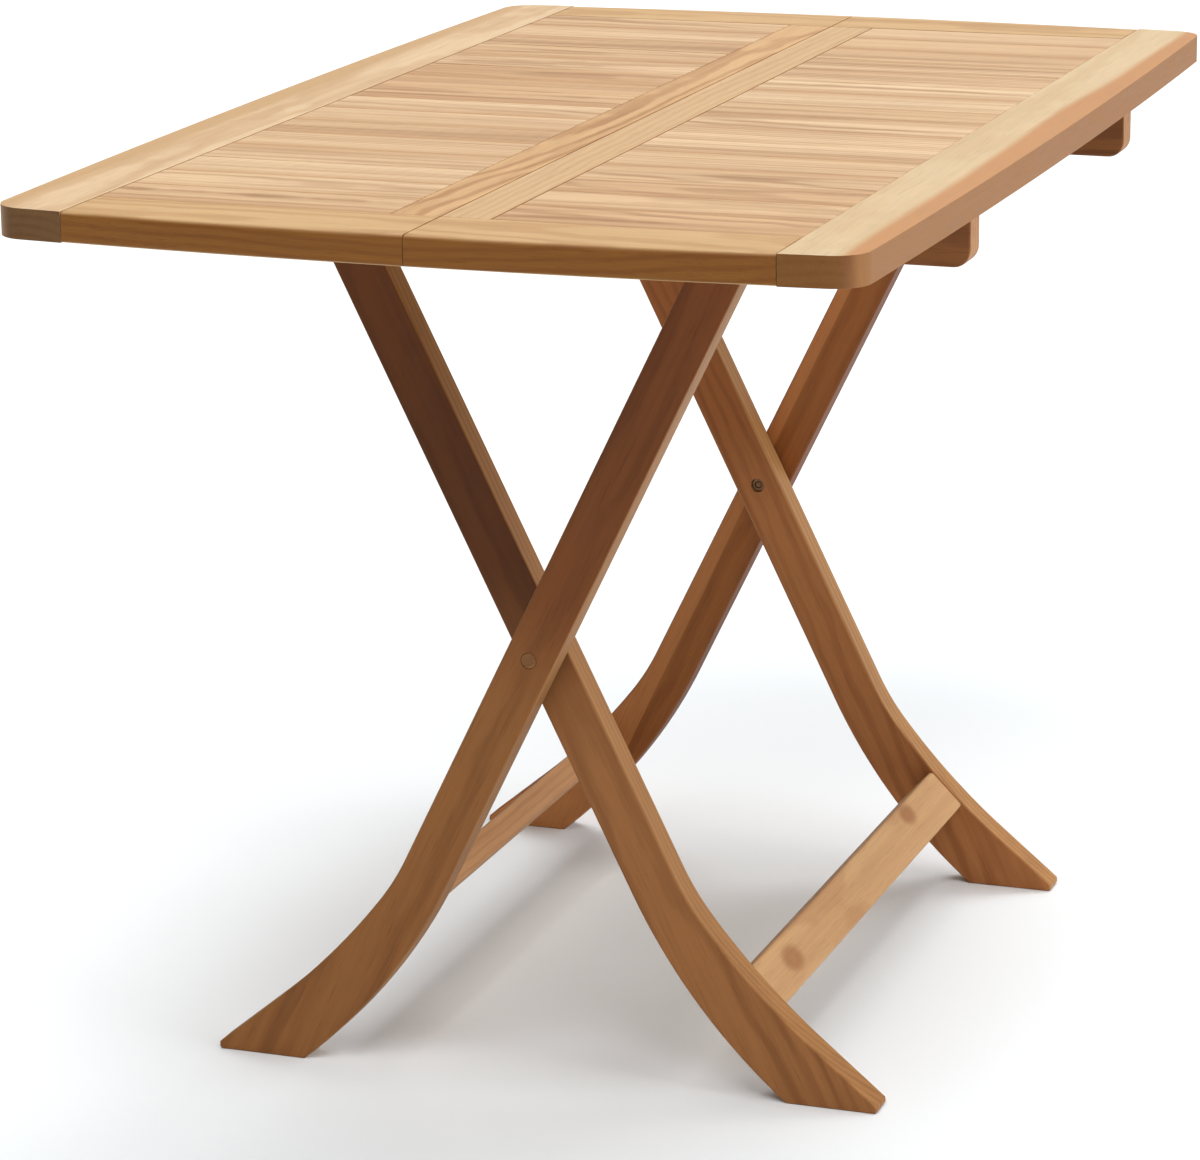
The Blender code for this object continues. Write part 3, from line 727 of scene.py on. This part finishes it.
def make_legs():
    for end, word in ((-1, "near"), (1, "far")):
        inner_faces = face_distances(f"inner_leg_{word}")
        outer_faces = face_distances(f"outer_leg_{word}")
        inner_y = end * sum(inner_faces) / 2
        outer_y = end * sum(outer_faces) / 2
        make_leg(f"inner_leg_{word}", 1, HINGE, [
            (HINGE.x, inner_y, HINGE.y, HINGE_BORE, THROUGH),
            (HINGE.x, end * inner_faces[1], HINGE.y, HINGE_RECESS, 0.010),
            (PIVOT.x, inner_y, PIVOT.y, BOLT_BORE, THROUGH),
            (PIVOT.x, end * inner_faces[0], PIVOT.y, NUT_RECESS, 0.014),
        ], ring_middle=(0.03 * end, -0.09), ring_gap=0.007, ring_depth=0.3, tilt=0.010)
        make_leg(f"outer_leg_{word}", -1, Vector((-BAR.x, BAR.y)), [
            (PIVOT.x, outer_y, PIVOT.y, BOLT_BORE, THROUGH),
            (PIVOT.x, end * outer_faces[1], PIVOT.y, PLUG_RECESS, 0.020),
            (BAR.x, end * outer_faces[0], BAR.y, BAR_RADIUS + SEAM, 0.030),
        ], ring_middle=(0.0, -0.12), ring_gap=0.008, ring_depth=0.3, tilt=-0.009)


def stretcher_frame():
    """The middle and the angle of the stretcher's section, let in flush with the leg's upper edge."""
    upper = straight_edge(1, UPPER_BEND_HEIGHT)
    edge = bend(upper, LEG_ANGLE, UPPER_BENDS[0][0], UPPER_BENDS[0][1], 5)
    centre = edge[-1] + normal_at(UPPER_BENDS[0][0]) * UPPER_BENDS[1][1]
    angle = math.asin((centre.y - STRETCHER_HEIGHT) / UPPER_BENDS[1][1])
    face = centre - normal_at(angle) * UPPER_BENDS[1][1]
    return face - normal_at(angle) * (STRETCHER_INSET + STRETCHER_THICK / 2), angle


def make_stretcher(node, lean, inner_face, **wood):
    """The board between two feet, its shoulders against the legs' inner faces."""
    middle, angle = stretcher_frame()
    reach = inner_face - SEAM
    half_width = STRETCHER_WIDTH / 2
    half_thick = STRETCHER_THICK / 2
    outline = [(-half_thick, -half_width), (half_thick, -half_width)]
    outline += [(half_thick, half_width), (-half_thick, half_width)]
    obj = prism(node + "_wood", outline, -reach, reach, upright=True)
    round_edges(obj, STRETCHER_ROUNDING, 4, long_edges)
    mesh = apply_modifiers(obj)
    turn = Matrix.Rotation(-lean * angle, 4, "Y")
    mesh.transform(Matrix.Translation((lean * middle.x, 0.0, middle.y)) @ turn)
    settle(obj)
    add_piece(obj, node, Y, turn @ Vector((lean, 0.0, 0.0)), **wood)


def make_bar():
    half = (bar_high.y - bar_low.y) / 2
    obj = cylinder("top_bar_wood", BAR_RADIUS, 2 * half, 64)
    obj.data.transform(Matrix.Translation((BAR.x, 0.0, BAR.y)))
    round_edges(obj, BAR_ROUNDING, 3, end_edges)
    settle(obj)
    add_piece(obj, "top_bar", Y, Z, pale=LEG_PALE, deep=LEG_DEEP, ring_middle=(0.04, -0.02))


def make_plugs():
    """Cross-grain plugs over the scissor bolts, their faces just proud of the leg."""
    for word in ("near", "far"):
        node = f"bolt_plug_{word}"
        low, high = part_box(node)
        middle = (low + high) / 2
        obj = cylinder(node + "_wood", (high.x - low.x) / 2, high.y - low.y)
        obj.data.transform(Matrix.Translation(middle))
        round_edges(obj, PLUG_ROUNDING, 3, end_edges)
        settle(obj)
        grain = Vector((0.94, 0.0, 0.34)).normalized()
        add_piece(
            obj, node, grain, -Y, pale=srgb(150, 102, 58), deep=srgb(112, 72, 38),
            ring_middle=(0.002, -0.02), ring_gap=0.003,
        )


BRASS = srgb(196, 158, 92)
BROWNED_STEEL = srgb(126, 92, 66)


def make_metal():
    for word in ("near", "far"):
        for node in (f"hinge_bolt_{word}", f"scissor_washer_{word}"):
            frame["nodes"][node].data.materials.clear()
            frame["nodes"][node].data.materials.append(metal(node + "_brass", BRASS, 0.28))
        for node in (f"scissor_bolt_{word}", f"scissor_nut_{word}"):
            frame["nodes"][node].data.materials.clear()
            frame["nodes"][node].data.materials.append(metal(node + "_steel", BROWNED_STEEL, 0.34))


# ---------------------------------------------------------------- the studio


FLOOR_REACH = 40.0
FLOOR_COLOUR = (0.833, 0.871, 0.897, 1.0)


def make_floor():
    shape = bmesh.new()
    bmesh.ops.create_grid(shape, x_segments=1, y_segments=1, size=FLOOR_REACH)
    floor = made_object("floor", shape)
    graph = Graph("pale_floor")
    graph.shader.inputs["Base Color"].default_value = FLOOR_COLOUR
    graph.shader.inputs["Roughness"].default_value = 0.9
    floor.data.materials.append(graph.material)


SKY_COLOUR = (0.97, 0.985, 1.0, 1.0)
SKY_STRENGTH = 0.06
# Each soft lamp: its name, the way towards it, its spread in degrees and its strength.
LAMPS = (
    ("back_high", (0.0, 0.5, 1.0), 40, 1.93),
    ("front_high", (0.0, -0.7, 1.0), 40, 1.28),
    ("front_right", (0.6, -0.5, 1.0), 40, 0.72),
    ("right_low", (1.0, 0.0, 0.5), 35, 1.21),
    ("back_right_low", (1.0, 1.0, 0.55), 35, 0.67),
    ("back_low", (-0.2, 1.0, 0.6), 35, 0.33),
)


def make_lights():
    world = bpy.data.worlds.new("studio")
    bpy.context.scene.world = world
    world.use_nodes = True
    sky = world.node_tree.nodes["Background"]
    sky.inputs["Color"].default_value = SKY_COLOUR
    sky.inputs["Strength"].default_value = SKY_STRENGTH
    for name, towards_light, spread, strength in LAMPS:
        lamp_data = bpy.data.lights.new(name, "SUN")
        lamp_data.energy = strength
        lamp_data.angle = math.radians(spread)
        lamp = bpy.data.objects.new(name, lamp_data)
        bpy.context.scene.collection.objects.link(lamp)
        lamp.rotation_euler = Vector(towards_light).to_track_quat("Z", "Y").to_euler()


SENSOR_WIDTH = 36.0
LENS = 134.91
CAMERA_PLACE = (1.2207, -3.5497, 1.3748)
CAMERA_TURNS = (74.664, 0.571, 19.640)


def make_camera():
    data = bpy.data.cameras.new("camera")
    data.sensor_width = SENSOR_WIDTH
    data.lens = LENS
    camera = bpy.data.objects.new("camera", data)
    bpy.context.scene.collection.objects.link(camera)
    camera.location = CAMERA_PLACE
    camera.rotation_euler = [math.radians(turn) for turn in CAMERA_TURNS]
    bpy.context.scene.camera = camera
    bpy.context.scene.view_settings.view_transform = "Standard"


def main():
    make_top()
    for node in ("near_batten", "far_batten"):
        make_batten(node)
    make_legs()
    inner_face = face_distances("inner_leg_far")[0]
    outer_face = face_distances("outer_leg_far")[0]
    make_stretcher(
        "inner_stretcher", 1, inner_face, pale=srgb(190, 149, 104), deep=srgb(161, 113, 72),
        ring_middle=(0.0, -0.10), ring_gap=0.008, figures=((-0.205, 0.0, 0.016), (0.165, 0.010, 0.014)),
    )
    make_stretcher(
        "outer_stretcher", -1, outer_face, pale=srgb(181, 135, 92), deep=srgb(145, 97, 59),
        ring_middle=(0.01, -0.09), ring_gap=0.007, ring_depth=0.25,
    )
    make_bar()
    make_plugs()
    make_metal()
    make_floor()
    make_lights()
    make_camera()


main()
